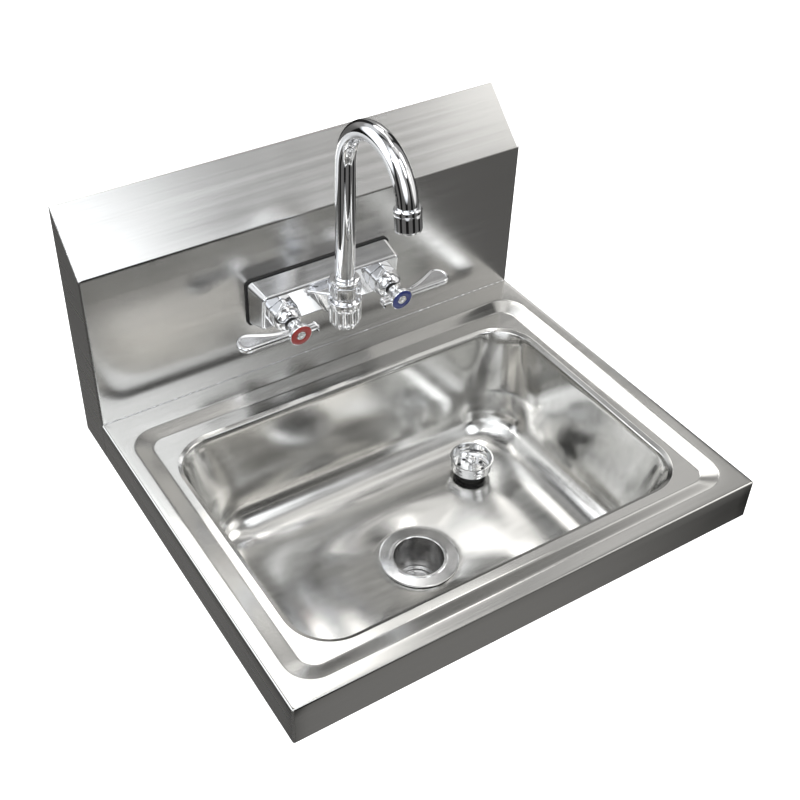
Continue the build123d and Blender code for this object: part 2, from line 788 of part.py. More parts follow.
# threaded nut that holds the spout in its socket
nut_shoulder = socket_top + 9.2
nut_rim, nut_rim_height = 13.4, 4.0
nut_body, spout_nut_across = 11.8, 12.5
ring_height = 2.5
nut_profile = [
    (tube_radius + running_gap, nut_shoulder),
    (tube_radius + running_gap, nut_top),
    (nut_rim - 0.8, nut_top),
    (nut_rim, nut_top - 0.8),
    (nut_rim, nut_top - nut_rim_height),
    (nut_body, nut_top - nut_rim_height),
    (nut_body, socket_top),
    (spigot_radius + fit_gap, socket_top),
    (spigot_radius + fit_gap, nut_shoulder),
]
with BuildPart() as spout_nut:
    add(turned(spout_axis, nut_profile, "nut"))
    with BuildSketch(Plane.XY.offset(socket_top)):
        with Locations((0, spout_y)):
            RegularPolygon(radius=spout_nut_across, side_count=6, major_radius=False)
            Circle(nut_body - 0.1, mode=Mode.SUBTRACT)
    extrude(amount=nut_top - nut_rim_height - socket_top)
finish(spout_nut.part, "spout_nut")

with BuildPart() as spout_retaining_ring:
    with BuildSketch(Plane.XY.offset(spigot_top + fit_gap)):
        with Locations((0, spout_y)):
            Circle(spigot_radius - 0.2)
            Circle(tube_radius, mode=Mode.SUBTRACT)
    extrude(amount=ring_height)
finish(spout_retaining_ring.part, "spout_retaining_ring")

o_ring_heights, o_ring_width = (3.0, 8.0), 2.0
with BuildPart() as spout_o_rings:
    for height in o_ring_heights:
        with BuildSketch(Plane.XY.offset(tube_foot + height)):
            with Locations((0, spout_y)):
                Circle(socket_bore - 0.05)
                Circle(tube_radius, mode=Mode.SUBTRACT)
        extrude(amount=o_ring_width)
finish(spout_o_rings.part, "spout_o_rings")

# ---------------------------------------------------------------- outlet

collar_radius, aerator_radius, aerator_bore = 11.1, 10.7, 9.0
collar_low, collar_high = -3.5, 1.5
aerator_low, aerator_high = collar_high, 16.0
insert_low, insert_high = 3.3, 14.4
insert_wall, plate_thickness, washer_hole = 1.2, 1.5, 6.5
jet_spacing, jet_radius, jet_rows = 1.5, 0.8, 5
collar_lip = 7.8
collar_bore, collar_step = tube_radius + 0.03, 0.03

collar_profile = [
    (collar_bore, collar_low),
    (collar_radius - 0.7, collar_low),
    (collar_radius, collar_low + 0.8),
    (collar_radius, collar_high - 0.4),
    (collar_radius - 0.4, collar_high),
    (collar_lip, collar_high),
    (collar_lip, collar_step),
    (collar_bore, collar_step),
]
finish(turned(outlet, collar_profile, "outlet_collar"), "outlet_collar")

aerator_profile = [
    (aerator_bore, aerator_low),
    (aerator_radius, aerator_low),
    (aerator_radius, aerator_high - 1.0),
    (aerator_radius - 0.8, aerator_high),
    (aerator_bore, aerator_high),
]
finish(turned(outlet, aerator_profile, "aerator_housing"), "aerator_housing")

with BuildPart() as aerator_washer:
    with BuildSketch(outlet.offset(collar_high)):
        Circle(aerator_bore - fit_gap)
        Circle(washer_hole, mode=Mode.SUBTRACT)
    extrude(amount=insert_low - collar_high)
finish(aerator_washer.part, "aerator_washer")

with BuildPart() as aerator_insert:
    with BuildSketch(outlet.offset(insert_low)):
        Circle(aerator_bore - fit_gap)
        Circle(aerator_bore - fit_gap - insert_wall, mode=Mode.SUBTRACT)
    extrude(amount=insert_high - insert_low)
    with BuildSketch(outlet.offset(insert_high - plate_thickness)):
        Circle(aerator_bore - fit_gap)
        with HexLocations(jet_spacing, jet_rows, jet_rows):
            Circle(jet_radius, mode=Mode.SUBTRACT)
    extrude(amount=plate_thickness)
finish(aerator_insert.part, "aerator_insert")
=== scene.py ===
import json
from math import acos, atan2, ceil, cos, pi, radians, sin, sqrt, tan

import bpy
import numpy as np
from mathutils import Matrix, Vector


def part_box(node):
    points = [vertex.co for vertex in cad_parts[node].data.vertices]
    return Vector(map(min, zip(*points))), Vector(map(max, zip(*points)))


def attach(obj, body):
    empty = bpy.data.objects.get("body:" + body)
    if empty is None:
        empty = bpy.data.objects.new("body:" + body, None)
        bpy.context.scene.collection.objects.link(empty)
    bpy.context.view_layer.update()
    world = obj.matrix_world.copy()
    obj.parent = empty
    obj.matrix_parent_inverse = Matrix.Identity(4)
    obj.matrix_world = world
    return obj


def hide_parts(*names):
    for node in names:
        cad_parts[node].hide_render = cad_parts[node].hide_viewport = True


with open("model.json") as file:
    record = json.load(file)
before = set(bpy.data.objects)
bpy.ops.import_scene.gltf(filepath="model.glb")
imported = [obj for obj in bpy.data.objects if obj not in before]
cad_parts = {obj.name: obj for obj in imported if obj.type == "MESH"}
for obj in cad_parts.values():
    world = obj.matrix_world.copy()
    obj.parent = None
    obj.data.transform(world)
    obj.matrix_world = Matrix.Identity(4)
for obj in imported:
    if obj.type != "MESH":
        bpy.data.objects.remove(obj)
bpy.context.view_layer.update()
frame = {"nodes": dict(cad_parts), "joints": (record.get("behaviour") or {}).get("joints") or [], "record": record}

# Wall-hung stainless hand sink. Metres, in the part's frame: X right, Y toward the wall, Z up.

MM = 0.001
crisp_angle = 48

# ---------------------------------------------------------------- places, read from the frame

deck_low, deck_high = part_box("deck")
bowl_low, bowl_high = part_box("bowl")
splash_low, splash_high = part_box("backsplash")
body_low, body_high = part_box("faucet_body")
flange_low, flange_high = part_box("drain_body")
tube_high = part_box("spout_tube")[1]
nut_low, nut_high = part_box("spout_nut")

half_width = deck_high.x
splash_face = deck_high.y
deck_front = deck_low.y
deck_top = deck_high.z
deck_foot = deck_low.z
ledge_top = bowl_high.z
bowl_middle = Vector((0, (bowl_low.y + bowl_high.y) / 2, 0))
drain_centre = Vector((0, (flange_low.y + flange_high.y) / 2, 0))
joints = {joint["name"]: joint for joint in frame["joints"]}
spout_axis = Vector(joints["spout_swivel"]["pos_m"])


# ---------------------------------------------------------------- mesh helpers


def make_piece(name, vertices, faces, materials, body, slot, replaces=(), face_material=None):
    """A smooth-shaded mesh object that rides on a body and stands for some CAD nodes."""
    mesh = bpy.data.meshes.new(name)
    mesh.from_pydata([tuple(v) for v in vertices], [], faces)
    mesh.validate()
    piece = bpy.data.objects.new(name, mesh)
    bpy.context.scene.collection.objects.link(piece)
    for material in materials:
        mesh.materials.append(material)
    mesh.polygons.foreach_set("use_smooth", [True] * len(mesh.polygons))
    if face_material is not None:
        for polygon in mesh.polygons:
            polygon.material_index = face_material(polygon.center, polygon.normal)
    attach(piece, body)
    if replaces:
        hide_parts(*replaces)
    return piece


def weighted_normals(piece):
    """Keep large flat faces flat beside their rounded edges."""
    modifier = piece.modifiers.new("weighted_normals", "WEIGHTED_NORMAL")
    modifier.weight = 100
    modifier.keep_sharp = True


def thicken(piece, thickness):
    """Give a sheet its thickness on the side away from its normals."""
    modifier = piece.modifiers.new("sheet", "SOLIDIFY")
    modifier.thickness = thickness
    modifier.offset = -1
    modifier.use_even_offset = True
    split = piece.modifiers.new("crisp_edges", "EDGE_SPLIT")
    split.split_angle = radians(crisp_angle)


def bridge(rings, closed=True, start_cap=False, end_cap=False, keep=None):
    """Vertices and faces of a surface through rings that all have the same number of points."""
    count = len(rings[0])
    vertices = [point for ring in rings for point in ring]
    faces = []
    for level in range(len(rings) - 1):
        for i in range(count if closed else count - 1):
            j = (i + 1) % count
            a, b = level * count + i, level * count + j
            face = (a, b, b + count, a + count)
            if keep is None or keep([vertices[k] for k in face]):
                faces.append(face)
    if start_cap:
        faces.append(tuple(reversed(range(count))))
    if end_cap:
        faces.append(tuple(range((len(rings) - 1) * count, len(rings) * count)))
    return vertices, faces


def joined(*parts):
    """One vertex list and face list out of several."""
    vertices, faces = [], []
    for part_vertices, part_faces in parts:
        offset = len(vertices)
        vertices += list(part_vertices)
        faces += [tuple(k + offset for k in face) for face in part_faces]
    return vertices, faces


def rounded_path(corners, steps=5):
    """A polyline in a plane whose corners, given as (a, b, radius), become arcs."""
    points = []
    for i, (a, b, radius) in enumerate(corners):
        here = Vector((a, b))
        if i in (0, len(corners) - 1) or radius <= 0:
            points.append(here)
            continue
        back = (Vector(corners[i - 1][:2]) - here).normalized()
        ahead = (Vector(corners[i + 1][:2]) - here).normalized()
        turn = pi - acos(max(-1, min(1, back.dot(ahead))))
        if turn < 1e-3:
            points.append(here)
            continue
        reach = radius * tan(turn / 2)
        centre = here + (back + ahead).normalized() * (radius / cos(turn / 2))
        start = here + back * reach - centre
        end = here + ahead * reach - centre
        sense = 1 if start.x * end.y - start.y * end.x > 0 else -1
        for k in range(steps + 1):
            angle = sense * turn * k / steps
            points.append(
                centre
                + Vector(
                    (
                        start.x * cos(angle) - start.y * sin(angle),
                        start.x * sin(angle) + start.y * cos(angle),
                    )
                )
            )
    return points


def lathe(profile, origin, axis=Vector((0, 0, 1)), segments=96, flute=None):
    """Turn a profile of (radius, height) points, in metres, about an axis."""
    axis = Vector(axis).normalized()
    side = Vector((1, 0, 0)) if abs(axis.x) < 0.9 else Vector((0, 1, 0))
    side = (side - axis * side.dot(axis)).normalized()
    other = axis.cross(side)
    rings = []
    for point in profile:
        ring = []
        for i in range(segments):
            angle = 2 * pi * i / segments
            radius = max(point[0], 1e-6)
            if flute:
                radius = flute(radius, point[1], angle)
            ring.append(origin + side * radius * cos(angle) + other * radius * sin(angle) + axis * point[1])
        rings.append(ring)
    return bridge(rings, start_cap=profile[0][0] < 1e-5, end_cap=profile[-1][0] < 1e-5)


def polygon_ring(sides, across_flats, corner, per_side=6, turn=0.0):
    """Outline of a many-sided nut with softened corners."""
    apothem = across_flats / 2
    points = []
    for k in range(sides):
        for i in range(per_side):
            share = i / per_side
            angle = 2 * pi * (k + share) / sides
            within = (share - 0.5) * 2 * pi / sides
            flat = apothem / cos(within)
            radius = min(flat, apothem / cos(pi / sides) - corner)
            points.append((radius * cos(angle + turn), radius * sin(angle + turn)))
    return points


def rounded_rectangle(left, right, low, high, radii, side_steps=(40, 32), corner_steps=14):
    """Counter-clockwise outline from the low right corner, with a radius for each corner in turn."""
    corners = [(right, low), (right, high), (left, high), (left, low)]
    inward = [(-1, 1), (-1, -1), (1, -1), (1, 1)]
    points = []
    for k in range(4):
        radius = max(radii[k], 1e-5)
        centre = (corners[k][0] + inward[k][0] * radius, corners[k][1] + inward[k][1] * radius)
        start = -pi / 2 + k * pi / 2
        arc = [
            (
                centre[0] + radius * cos(start + pi / 2 * i / corner_steps),
                centre[1] + radius * sin(start + pi / 2 * i / corner_steps),
            )
            for i in range(corner_steps + 1)
        ]
        following = (k + 1) % 4
        next_radius = max(radii[following], 1e-5)
        next_start = (
            corners[following][0] + inward[following][0] * next_radius,
            corners[following][1] + inward[following][1] * next_radius,
        )
        angle = start + pi / 2
        goal = (next_start[0] + next_radius * cos(angle), next_start[1] + next_radius * sin(angle))
        steps = side_steps[1] if k % 2 == 0 else side_steps[0]
        points += arc
        points += [
            (
                arc[-1][0] + (goal[0] - arc[-1][0]) * i / steps,
                arc[-1][1] + (goal[1] - arc[-1][1]) * i / steps,
            )
            for i in range(1, steps)
        ]
    return points


def mix(a, b, share):
    return a + (b - a) * share


def smooth_step(x):
    x = max(0.0, min(1.0, x))
    return x * x * (3 - 2 * x)


# ---------------------------------------------------------------- material helpers


class Graph:
    """A material's node tree, with short ways to add and link nodes."""

    def __init__(self, name):
        self.material = bpy.data.materials.new(name)
        self.material.use_nodes = True
        self.tree = self.material.node_tree
        self.shader = self.tree.nodes["Principled BSDF"]
        self.place = self.node("ShaderNodeTexCoord").outputs["Object"]

    def node(self, kind, **settings):
        made = self.tree.nodes.new(kind)
        for key, value in settings.items():
            setattr(made, key, value)
        return made

    def link(self, source, target):
        self.tree.links.new(source, target)

    def stretched(self, scale, turn=(0, 0, 0)):
        """Object coordinates stretched by a scale."""
        mapping = self.node("ShaderNodeMapping")
        mapping.inputs["Scale"].default_value = scale
        mapping.inputs["Rotation"].default_value = turn
        self.link(self.place, mapping.inputs["Vector"])
        return mapping.outputs["Vector"]

    def noise(self, vector, scale=1.0, detail=2.0, roughness=0.5):
        texture = self.node("ShaderNodeTexNoise")
        texture.inputs["Scale"].default_value = scale
        texture.inputs["Detail"].default_value = detail
        texture.inputs["Roughness"].default_value = roughness
        self.link(vector, texture.inputs["Vector"])
        return texture.outputs["Fac"]

    def spread(self, value, low, high, start=0.3, end=0.7):
        """Map a value between start and end to the range low to high."""
        ranged = self.node("ShaderNodeMapRange")
        ranged.inputs["From Min"].default_value = start
        ranged.inputs["From Max"].default_value = end
        ranged.inputs["To Min"].default_value = low
        ranged.inputs["To Max"].default_value = high
        self.link(value, ranged.inputs["Value"])
        return ranged.outputs["Result"]

    def average(self, a, b, share):
        blend = self.node("ShaderNodeMix", data_type="FLOAT")
        blend.inputs["Factor"].default_value = share
        self.link(a, blend.inputs["A"])
        self.link(b, blend.inputs["B"])
        return blend.outputs["Result"]

    def colours(self, value, dark, light, start=0.3, end=0.7):
        ramp = self.node("ShaderNodeValToRGB")
        ramp.color_ramp.elements[0].position = start
        ramp.color_ramp.elements[0].color = (*dark, 1)
        ramp.color_ramp.elements[1].position = end
        ramp.color_ramp.elements[1].color = (*light, 1)
        self.link(value, ramp.inputs["Fac"])
        self.link(ramp.outputs["Color"], self.shader.inputs["Base Color"])

    def bump(self, value, distance, strength=1.0, previous=None):
        bump = self.node("ShaderNodeBump")
        bump.inputs["Strength"].default_value = strength
        bump.inputs["Distance"].default_value = distance
        self.link(value, bump.inputs["Height"])
        if previous is not None:
            self.link(previous, bump.inputs["Normal"])
        self.link(bump.outputs["Normal"], self.shader.inputs["Normal"])
        return bump.outputs["Normal"]

    def tangent(self, direction):
        vector = self.node("ShaderNodeCombineXYZ")
        for axis, amount in zip("XYZ", direction):
            vector.inputs[axis].default_value = amount
        self.link(vector.outputs["Vector"], self.shader.inputs["Tangent"])


def brushed(name, along, dark, light, roughness, anisotropy, wave_height=0.0003):
    """Stainless sheet with fine straight grain along one axis of the part."""
    graph = Graph(name)
    fine_across, fine_along = 900.0, 6.0
    soft_across, soft_along = 150.0, 2.5
    fine_scale = [fine_across if axis != along else fine_along for axis in range(3)]
    soft_scale = [soft_across if axis != along else soft_along for axis in range(3)]
    fine = graph.noise(graph.stretched(fine_scale), detail=3)
    soft = graph.noise(graph.stretched(soft_scale), detail=2)
    cloud = graph.noise(graph.place, scale=9.0, detail=3)
    streak = graph.average(fine, soft, 0.35)
    graph.colours(graph.average(streak, cloud, 0.3), dark, light, 0.35, 0.65)
    unevenness = graph.average(soft, cloud, 0.5)
    rough = graph.spread(unevenness, roughness - 0.035, roughness + 0.035, 0.35, 0.65)
    graph.link(rough, graph.shader.inputs["Roughness"])
    graph.shader.inputs["Metallic"].default_value = 1.0
    graph.shader.inputs["Anisotropic"].default_value = anisotropy
    graph.tangent([1.0 if axis == along else 0.0 for axis in range(3)])
    graph.bump(graph.noise(graph.place, scale=6.0, detail=0), wave_height, 0.3)
    return graph.material


def satin(name, dark, light, roughness):
    """Drawn stainless with a fine even polish and faint polishing swirls."""
    graph = Graph(name)
    fine = graph.noise(graph.place, scale=1400.0, detail=2)
    swirl = graph.noise(graph.stretched((22.0, 150.0, 60.0), (0, 0, radians(24))), detail=3)
    cloud = graph.noise(graph.place, scale=14.0, detail=3)
    graph.colours(graph.average(swirl, cloud, 0.5), dark, light, 0.35, 0.65)
    unevenness = graph.average(swirl, cloud, 0.6)
    rough = graph.spread(unevenness, roughness - 0.03, roughness + 0.04, 0.35, 0.65)
    graph.link(rough, graph.shader.inputs["Roughness"])
    graph.shader.inputs["Metallic"].default_value = 1.0
    graph.shader.inputs["Anisotropic"].default_value = 0.2
    wave = graph.bump(graph.noise(graph.place, scale=13.0, detail=1), 0.0007, 0.35)
    graph.bump(graph.average(fine, swirl, 0.5), 0.00001, 0.4, wave)
    return graph.material


def polished(name, dark, light, roughness, ripple=0.2):
    """Plated or polished metal with faint ripples and a trace of wiping marks."""
    graph = Graph(name)
    smear = graph.noise(graph.place, scale=55.0, detail=4)
    graph.colours(smear, dark, light, 0.3, 0.7)
    graph.link(graph.spread(smear, roughness, roughness + 0.05, 0.4, 0.8), graph.shader.inputs["Roughness"])
    graph.shader.inputs["Metallic"].default_value = 1.0
    graph.bump(graph.noise(graph.place, scale=110.0, detail=1), 0.0002, ripple)
    return graph.material


def moulded(name, dark, light, roughness, grain_scale, depth, coat=0.0):
    """Rubber, plastic, fibre or ceramic with a fine grain."""
    graph = Graph(name)
    grain = graph.noise(graph.place, scale=grain_scale, detail=3)
    patch = graph.noise(graph.place, scale=grain_scale / 12, detail=2)
    graph.colours(graph.average(grain, patch, 0.6), dark, light, 0.3, 0.7)
    graph.link(graph.spread(patch, roughness - 0.06, roughness + 0.08), graph.shader.inputs["Roughness"])
    graph.shader.inputs["Coat Weight"].default_value = coat
    graph.bump(grain, depth, 0.5)
    return graph.material


deck_steel = brushed("deck_steel", 0, (0.575, 0.57, 0.555), (0.625, 0.62, 0.605), 0.165, 0.45)
# painted shade: the side steel is a darker copy of the brushed stainless for faces that look sideways; its grain
# runs along Y and it is rougher
side_steel_painted_shade = brushed("side_steel_painted_shade", 1, (0.50, 0.495, 0.485), (0.58, 0.575, 0.565), 0.26, 0.45)
splash_steel = brushed("splash_steel", 0, (0.575, 0.57, 0.56), (0.62, 0.615, 0.605), 0.205, 0.35, 0.0002)
edge_steel = polished("edge_steel", (0.66, 0.66, 0.67), (0.78, 0.78, 0.79), 0.16, 0.35)
bowl_steel = satin("bowl_steel", (0.63, 0.625, 0.61), (0.69, 0.685, 0.67), 0.165)
chrome = polished("chrome", (0.78, 0.785, 0.80), (0.88, 0.885, 0.90), 0.025, 0.10)
bright_steel = polished("bright_steel", (0.62, 0.62, 0.62), (0.76, 0.76, 0.76), 0.13, 0.2)
# painted shade: a darker copy of the polished steel for the inside of the drain's throat
throat_steel_painted_shade = polished("throat_steel_painted_shade", (0.34, 0.335, 0.33), (0.44, 0.435, 0.43), 0.22, 0.3)
zinc = polished("zinc_plate", (0.42, 0.43, 0.45), (0.60, 0.61, 0.64), 0.34, 0.5)
brass = polished("brass", (0.52, 0.37, 0.16), (0.72, 0.55, 0.27), 0.24, 0.3)
rubber = moulded("black_rubber", (0.012, 0.012, 0.012), (0.03, 0.03, 0.03), 0.62, 900.0, 0.00005)
fibre = moulded("fibre", (0.20, 0.14, 0.09), (0.36, 0.27, 0.18), 0.7, 700.0, 0.00008)
ceramic = moulded("ceramic", (0.72, 0.71, 0.67), (0.84, 0.83, 0.80), 0.2, 400.0, 0.00001, 0.4)
grey_plastic = moulded("grey_plastic", (0.42, 0.43, 0.44), (0.55, 0.56, 0.57), 0.45, 600.0, 0.00002)
red_plastic = moulded("red_plastic", (0.34, 0.022, 0.018), (0.42, 0.035, 0.028), 0.3, 500.0, 0.00001, 0.5)
blue_plastic = moulded("blue_plastic", (0.008, 0.02, 0.17), (0.014, 0.035, 0.24), 0.3, 500.0, 0.00001, 0.5)

finish_of_slot = {
    "brushed_stainless": splash_steel,
    "satin_stainless": bowl_steel,
    "polished_steel": bright_steel,
    "zinc_plate": zinc,
    "chrome": chrome,
    "brass": brass,
    "black_rubber": rubber,
    "fibre": fibre,
    "ceramic": ceramic,
    "grey_plastic": grey_plastic,
    "red_plastic": red_plastic,
    "blue_plastic": blue_plastic,
}
for subpart in frame["record"]["subparts"]:
    cad_mesh = frame["nodes"][subpart["node"]].data
    cad_mesh.materials.clear()
    cad_mesh.materials.append(finish_of_slot[subpart["material_slot"]])

# ---------------------------------------------------------------- deck

sheet = 1.2 * MM
edge_bend = 1.7 * MM
rim = dict(side=12 * MM, front=13 * MM, back=23.5 * MM, radius=24.5 * MM)
ledge = dict(side=26.5 * MM, front=26 * MM, back=37 * MM, radius=13 * MM)
rim_drop = deck_top - ledge_top
band_width = ledge["side"] - rim["side"]
band_bend = 1.6 * MM


def deck_ring(side, front, back, radii, height):
    """Outline set in from the deck's edges, at a height."""
    outline = rounded_rectangle(
        -half_width + side, half_width - side, deck_front + front, splash_face - back, radii
    )
    return [Vector((x, y, height)) for x, y in outline]


def band_drop(across):
    """How far the surface has fallen at a distance inward from the rim's line."""
    slope = rim_drop / band_width
    if across < -band_bend:
        return 0.0
    if across < band_bend:
        return slope / (4 * band_bend) * (across + band_bend) ** 2
    if across < band_width - band_bend:
        return slope * across
    if across < band_width + band_bend:
        return rim_drop - slope / (4 * band_bend) * (band_width + band_bend - across) ** 2
    return rim_drop


def build_deck():
    rings = []
    corner = edge_bend
    for height in np.linspace(deck_foot, deck_top - edge_bend, 5):
        rings.append(deck_ring(0, 0, 0, (corner, 1e-5, 1e-5, corner), height))
    steps = 6
    for k in range(1, steps + 1):
        angle = pi / 2 * k / steps
        inset = edge_bend * (1 - cos(angle))
        height = deck_top - edge_bend * (1 - sin(angle))
        rings.append(deck_ring(inset, inset, 0, (corner, 1e-5, 1e-5, corner), height))
    for share in (0.25, 0.6):
        inset = [mix(edge_bend, rim[key], share) for key in ("side", "front")]
        radius = mix(corner, rim["radius"] * 0.8, share)
        rings.append(deck_ring(*inset, rim["back"] * share, (radius,) * 4, deck_top))
    across_values = list(np.linspace(-band_bend, band_bend, 6))
    across_values += list(np.linspace(band_bend, band_width - band_bend, 5)[1:-1])
    across_values += list(np.linspace(band_width - band_bend, band_width + band_bend, 6))
    for across in across_values:
        share = across / band_width
        side, front, back, radius = (mix(rim[key], ledge[key], share) for key in rim)
        rings.append(deck_ring(side, front, back, (radius,) * 4, deck_top - band_drop(across)))
    rings.append(bowl_ring(0.0, lip_radius, ledge_top))

    def keep(face):
        return not (min(v.y for v in face) > splash_face - 1e-6 and min(v.z for v in face) < deck_top - 1e-6)

    vertices, faces = bridge(rings, keep=keep)

    def which(centre, normal):
        # faces that look sideways take the darker side steel, which is painted shade
        return 1 if abs(normal.x) > 0.7 else 0

    deck = make_piece(
        "deck_sheet", vertices, faces, [deck_steel, side_steel_painted_shade], "sink", "brushed_stainless", ["deck"], which
    )
    thicken(deck, sheet)
    return deck


# ---------------------------------------------------------------- bowl

lip_half_x = bowl_high.x
lip_half_y = (bowl_high.y - bowl_low.y) / 2
lip_radius = 40 * MM
mouth_inset, mouth_drop = 5.6 * MM, 5.2 * MM
floor_inset = 11.6 * MM
floor_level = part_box("basket_stopper")[0].z
# the flat starts this much high, so that the sinking floor meets the basket's foot
floor_rise = 0.4 * MM
floor_depth = ledge_top - floor_level - floor_rise
floor_round = 50 * MM
foot_radius = 54 * MM
flat_radius = 26 * MM
seat_level = flange_high.z - 3.5 * MM
seat_radius = 39 * MM
dish_start = 0.6
hole_radius = 24.6 * MM
mesh_step = 6 * MM


def bowl_ring(inset, radius, height):
    """Outline set in from the bowl's lip, at a height."""
    outline = rounded_rectangle(
        -lip_half_x + inset,
        lip_half_x - inset,
        bowl_middle.y - lip_half_y + inset,
        bowl_middle.y + lip_half_y - inset,
        (radius,) * 4,
    )
    return [Vector((x, y, height)) for x, y in outline]


def settle(share):
    """How far the floor has sunk towards the drain: a soft start, then a straight pitch."""
    slope = 1 / (1 - dish_start / 2)
    if share < dish_start:
        return slope * share * share / (2 * dish_start)
    return slope * (share - dish_start / 2)


def build_bowl():
    lip = rounded_path(
        [
            (0, 0, 0),
            (0.5 * MM, 0, 0.8 * MM),
            (4.3 * MM, 1.7 * MM, 2.2 * MM),
            (mouth_inset, mouth_drop, 0),
        ],
        steps=8,
    )
    rings = [bowl_ring(p.x, lip_radius - p.x, ledge_top - p.y) for p in lip]
    # the wall runs into the floor on one easy curve
    corner = Vector((floor_inset, floor_depth))
    up_wall = (Vector((mouth_inset, mouth_drop)) - corner).normalized()
    start, end = corner + up_wall * floor_round, corner + Vector((floor_round, 0))
    ease = 0.72
    first, second = start.lerp(corner, ease), end.lerp(corner, ease)
    wall = [lip[-1].lerp(start, k / 10) for k in range(1, 10)]
    for point in wall:
        radius = mix(lip_radius - mouth_inset, foot_radius, point.y / start.y)
        rings.append(bowl_ring(point.x, radius, ledge_top - point.y))
    for t in np.linspace(0, 1, 31):
        u = 1 - t
        point = start * u ** 3 + first * 3 * t * u ** 2 + second * 3 * t * t * u + end * t ** 3
        rings.append(bowl_ring(point.x, mix(foot_radius, flat_radius, smooth_step(t)), ledge_top - point.y))
    dense = []
    for a, b in zip(rings, rings[1:]):
        gap = max((p - q).length for p, q in zip(a, b))
        steps = max(1, ceil(gap / mesh_step))
        for k in range(steps):
            dense.append([p.lerp(q, k / steps) for p, q in zip(a, b)])
    flat_ring = rings[-1]
    steps = 30
    for k in range(steps + 1):
        share = k / steps
        ring = []
        for point in flat_ring:
            out = Vector((point.x, point.y, 0)) - drain_centre
            angle = atan2(out.y, out.x)
            reach = mix(out.length, seat_radius, share)
            spot = drain_centre + Vector((cos(angle), sin(angle), 0)) * reach
            ring.append(Vector((spot.x, spot.y, mix(point.z, seat_level, settle(share)))))
        dense.append(ring)
    for radius in (34 * MM, 29 * MM, hole_radius):
        ring = []
        for point in flat_ring:
            out = Vector((point.x, point.y, 0)) - drain_centre
            angle = atan2(out.y, out.x)
            ring.append(drain_centre + Vector((cos(angle) * radius, sin(angle) * radius, seat_level)))
        dense.append(ring)
    vertices, faces = bridge(dense)
    bowl = make_piece("bowl_shell", vertices, faces, [bowl_steel], "sink", "satin_stainless", ["bowl"])
    thicken(bowl, sheet)
    return bowl


build_deck()
build_bowl()

# ---------------------------------------------------------------- backsplash

slope_foot = deck_top + 149 * MM
slope_top = splash_high.z
lip_foot = slope_top - 25 * MM
strip_width = 3 * MM


def build_splash():
    """Face, slope and return lip in one folded sheet, with the two ends welded on."""
    left, right = -half_width, half_width
    stations = [left, left + strip_width, right - strip_width, right]
    section = [
        (splash_face, splash_low.z),
        (splash_face, deck_top),
        (splash_face, slope_foot),
        (0.0, slope_top),
        (0.0, lip_foot),
    ]
    vertices = [Vector((x, y, z)) for x in stations for y, z in section]
    rows = len(section)
    faces = []
    for s in range(len(stations) - 1):
        for k in range(rows - 1):
            a = s * rows + k
            faces.append((a, a + rows, a + rows + 1, a + 1))
    base = len(vertices)
    vertices += [Vector((left, 0, splash_low.z)), Vector((right, 0, splash_low.z))]
    last = (len(stations) - 1) * rows
    faces.append((base, 0, 1, 2, 3))
    faces.append((last + 3, last + 2, last + 1, last, base + 1))

    def which(centre, normal):
        # the sideways end faces take the darker side steel, which is painted shade
        if abs(normal.x) > 0.7:
            return 1
        if normal.z > 0.3 and abs(centre.x) > half_width - strip_width:
            return 2
        return 0

    splash = make_piece(
        "splash_shell",
        vertices,
        faces,
        [splash_steel, side_steel_painted_shade, edge_steel],
        "sink",
        "brushed_stainless",
        ["backsplash", "splash_end_left", "splash_end_right"],
        which,
    )
    bevel = splash.modifiers.new("bends", "BEVEL")
    bevel.width = 1.5 * MM
    bevel.segments = 4
    bevel.limit_method = "ANGLE"
    bevel.angle_limit = radians(25)
    thicken(splash, sheet)
    weighted_normals(splash)
    return splash


def build_junction():
    """The thin weld where the deck meets the splash."""
    generator = np.random.default_rng(7)
    spots = generator.uniform(-half_width * 0.95, half_width * 0.95, 14)
    rings = []
    for x in np.linspace(-half_width + 1.5 * MM, half_width - 1.5 * MM, 420):
        bump = max(0.0, 1 - min(abs(spots - x)) / (1.2 * MM))
        radius = (0.55 + 0.35 * bump + 0.06 * sin(x * 900)) * MM
        rings.append(
            [
                Vector((x, splash_face - radius * cos(a) * 0.9, deck_top + radius * sin(a) * 0.9))
                for a in np.linspace(0, 2 * pi, 10, endpoint=False)
            ]
        )
    vertices, faces = bridge(rings, start_cap=True, end_cap=True)
    return make_piece("deck_weld", vertices, faces, [edge_steel], "sink", "brushed_stainless")


build_splash()
build_junction()

# ---------------------------------------------------------------- faucet body

spout_y = spout_axis.y
valve_axis = Vector(joints["hot_valve"]["axis"])
valve_seat = Vector(joints["hot_valve"]["pos_m"])
faucet_centre = valve_seat.z
valve_face = valve_seat.y
valve_up = valve_axis.cross(Vector((1, 0, 0)))
gasket_front = body_high.y


plate_length, plate_height, plate_corner = 143 * MM, 44.5 * MM, 5 * MM
front_length, front_height, front_corner = 136.5 * MM, 35.5 * MM, 4 * MM
front_lift = 1.5 * MM
neck_high, neck_low, neck_root_half, neck_tip_half = 13, -15, 28, 11
cup_radius, cup_round, flute_count, flute_depth = 14.2, 12.0, 16, 1.1 * MM
spigot_inner, spigot_outer = 9.6 * MM, 11.4 * MM
upward = Vector((0, 0, 1))
rightward = Vector((1, 0, 0))


def outline_on(origin, up, points):
    """Place flat (x, height) points on a plane whose other direction is given."""
    return [origin + rightward * x + up * h for x, h in points]


def oblong(width, height, radius, lift=0.0, steps=(24, 10)):
    return rounded_rectangle(
        -width / 2, width / 2, lift - height / 2, lift + height / 2, (radius,) * 4, steps, corner_steps=10
    )


